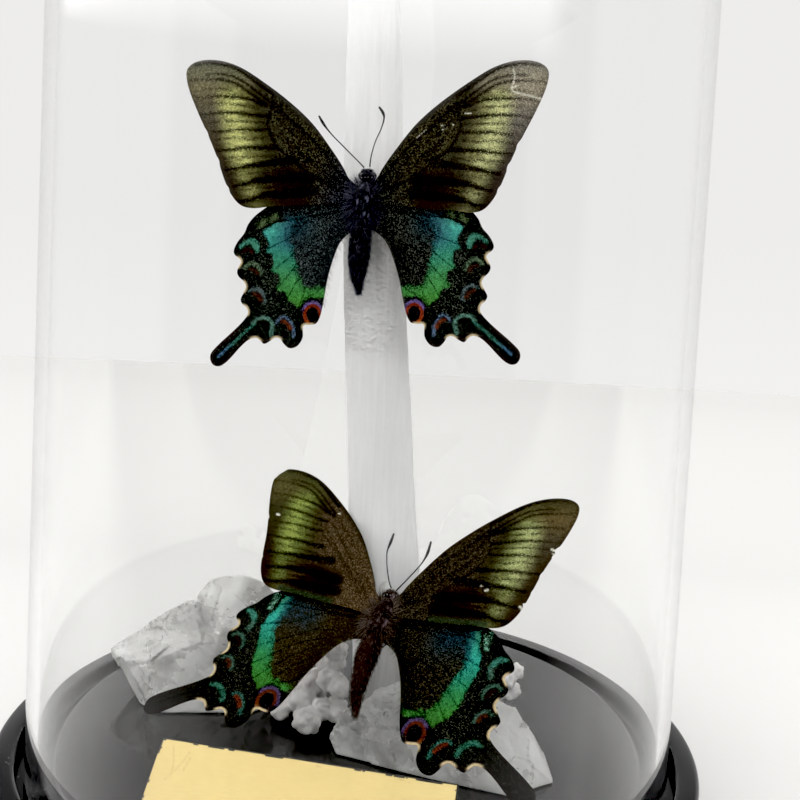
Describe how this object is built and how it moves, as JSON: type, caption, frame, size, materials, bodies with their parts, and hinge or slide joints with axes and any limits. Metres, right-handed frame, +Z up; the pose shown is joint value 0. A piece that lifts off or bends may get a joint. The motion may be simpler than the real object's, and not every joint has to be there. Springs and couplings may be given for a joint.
{
  "type": "insect in glass dome",
  "caption": "Swallowtail butterflies fixed to a leaning selenite column, among clear quartz and white stones, under a clear glass dome on a turned gloss-black base.",
  "frame": {"origin": "the middle of the underside of the base, on the surface it stands on", "axes": "+X to the right of the viewer, +Y away from the viewer, +Z up; the label plate faces -Y"},
  "size_m": [0.196, 0.196, 0.3133],
  "materials": {
    "gloss black": "gloss black lacquer",
    "clear glass": "clear and polished",
    "selenite": "translucent white, finely fibrous",
    "quartz": "clear white, rough broken faces",
    "white stone": "matt white",
    "gold face": "satin gold face on a black core",
    "matt black": "matt",
    "black scales": "matt, finely hairy",
    "green scales": "fine scales with a green-gold sheen",
    "teal scales": "fine scales with a blue-green sheen",
    "clear glue": "clear, slightly cloudy"
  },
  "bodies": {
    "root": {"base": "gloss black", "glass_dome": "clear glass", "selenite_column": "selenite", "quartz_left": "quartz", "quartz_front": "quartz", "white_stones_left": "white stone", "white_stones_right": "white stone", "label_plate": "gold face", "label_wedge": "matt black", "upper_body": "black scales", "upper_forewing_left": "green scales", "upper_hindwing_left": "teal scales", "upper_antenna_left": "black scales", "upper_forewing_right": "green scales", "upper_hindwing_right": "teal scales", "upper_antenna_right": "black scales", "upper_glue": "clear glue", "lower_body": "black scales", "lower_forewing_left": "green scales", "lower_hindwing_left": "teal scales", "lower_antenna_left": "black scales", "lower_forewing_right": "green scales", "lower_hindwing_right": "teal scales", "lower_antenna_right": "black scales", "lower_glue": "clear glue"}
  },
  "joints": []
}
